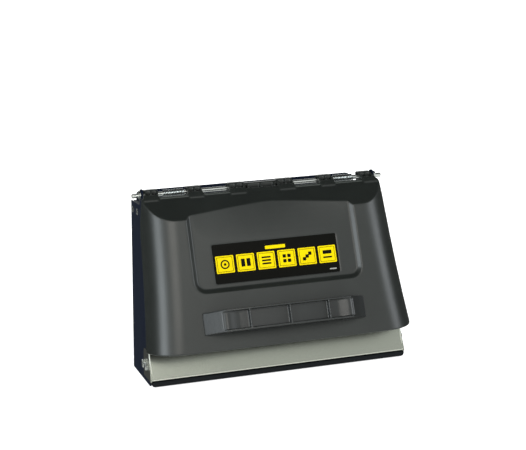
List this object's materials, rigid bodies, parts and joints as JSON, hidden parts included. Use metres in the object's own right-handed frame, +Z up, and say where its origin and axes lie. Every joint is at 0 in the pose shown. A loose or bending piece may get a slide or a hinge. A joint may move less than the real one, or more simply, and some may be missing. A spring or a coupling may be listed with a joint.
{
  "type": "rear discharge chute",
  "caption": "Flared steel duct with a zinc deflector plate and rubber lip, closed by a sprung moulded cover with a pull handle that swings up on a rod.",
  "frame": {"origin": "centre of the bounding box's base, on the floor under the duct", "axes": "+X across the mouth, -Y out through the cover towards the user, +Z up"},
  "size_m": [0.367, 0.201, 0.2586],
  "materials": {
    "cover_plastic": "satin black moulded plastic",
    "handle_plastic": "satin black moulded plastic",
    "duct_paint": "dark blue powder coat",
    "zinc_sheet": "galvanised, fine spangle",
    "plated_steel": "zinc plated",
    "spring_steel": "bright zinc plated wire",
    "rubber": "matt black",
    "label_film": "satin film with plain yellow fields"
  },
  "bodies": {
    "duct": {"left_cheek": "duct_paint", "right_cheek": "duct_paint", "duct_roof": "duct_paint", "roof_rivet_left_1": "plated_steel", "roof_rivet_left_2": "plated_steel", "roof_rivet_right_1": "plated_steel", "roof_rivet_right_2": "plated_steel", "deflector_plate": "zinc_sheet", "rubber_lip": "rubber", "lip_screw_1": "plated_steel", "lip_screw_2": "plated_steel", "lip_screw_3": "plated_steel", "lip_screw_4": "plated_steel", "lip_screw_5": "plated_steel", "plate_bolt_left_1": "plated_steel", "plate_bolt_left_2": "plated_steel", "plate_bolt_right_1": "plated_steel", "plate_bolt_right_2": "plated_steel", "plate_nut_left_1": "plated_steel", "plate_nut_left_2": "plated_steel", "plate_nut_right_1": "plated_steel", "plate_nut_right_2": "plated_steel", "hinge_rod": "plated_steel", "rod_washer_left": "plated_steel", "rod_washer_right": "plated_steel", "rod_clip_left": "plated_steel", "rod_clip_right": "plated_steel", "torsion_spring_left": "spring_steel", "torsion_spring_right": "spring_steel"},
    "cover": {"cover": "cover_plastic", "pull_handle": "handle_plastic", "handle_screw_1": "plated_steel", "handle_screw_2": "plated_steel", "handle_screw_3": "plated_steel", "handle_screw_4": "plated_steel", "label_plate": "label_film"}
  },
  "joints": [
    {"name": "cover_hinge", "type": "hinge", "parent": "duct", "child": "cover", "pos_m": [0, 0.02549, 0.25], "axis": [-1, 0, 0], "range_deg": [0, 85], "stiffness_Nm_per_rad": 0.9, "springref_deg": -51.57, "deforming": ["torsion_spring_left", "torsion_spring_right"]}
  ]
}
